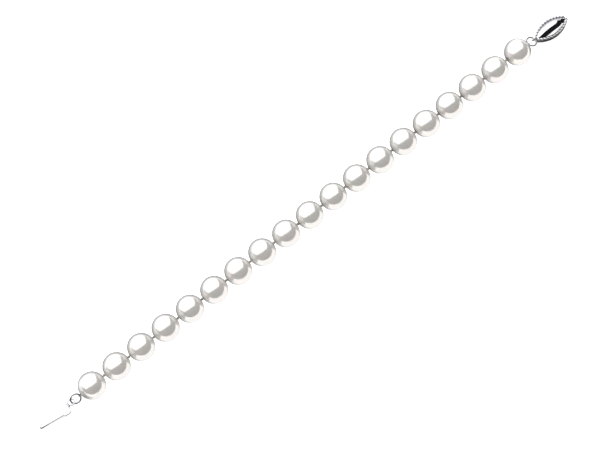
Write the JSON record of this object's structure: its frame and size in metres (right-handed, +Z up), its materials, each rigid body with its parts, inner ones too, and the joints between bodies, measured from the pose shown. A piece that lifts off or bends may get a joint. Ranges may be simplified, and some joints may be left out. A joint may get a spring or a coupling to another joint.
{
  "type": "pearl bracelet",
  "caption": "Single-strand bracelet of round white pearls knotted on silk, laid out straight and unfastened, with a jump ring and one half of a pointed-oval box clasp at each end.",
  "frame": {"origin": "centre of the bounding box in plan, on the surface that the bracelet lies on", "axes": "+X along the straight strand from the hook end to the box end, +Z up"},
  "size_m": [0.1862, 0.0076, 0.0077],
  "materials": {
    "pearl": "lustrous white nacre with faint cream, rose and green overtones",
    "silk": "twisted silk cord, slightly shaded in the gaps",
    "white_metal": "polished white gold or rhodium-plated silver"
  },
  "bodies": {
    "root": {"pearl_01": "pearl", "pearl_02": "pearl", "pearl_03": "pearl", "pearl_04": "pearl", "pearl_05": "pearl", "pearl_06": "pearl", "pearl_07": "pearl", "pearl_08": "pearl", "pearl_09": "pearl", "pearl_10": "pearl", "pearl_11": "pearl", "pearl_12": "pearl", "pearl_13": "pearl", "pearl_14": "pearl", "pearl_15": "pearl", "pearl_16": "pearl", "pearl_17": "pearl", "pearl_18": "pearl", "pearl_19": "pearl", "thread": "silk", "hook_ring": "white_metal", "box_ring": "white_metal", "clasp_hook": "white_metal", "clasp_box": "white_metal"}
  },
  "joints": []
}
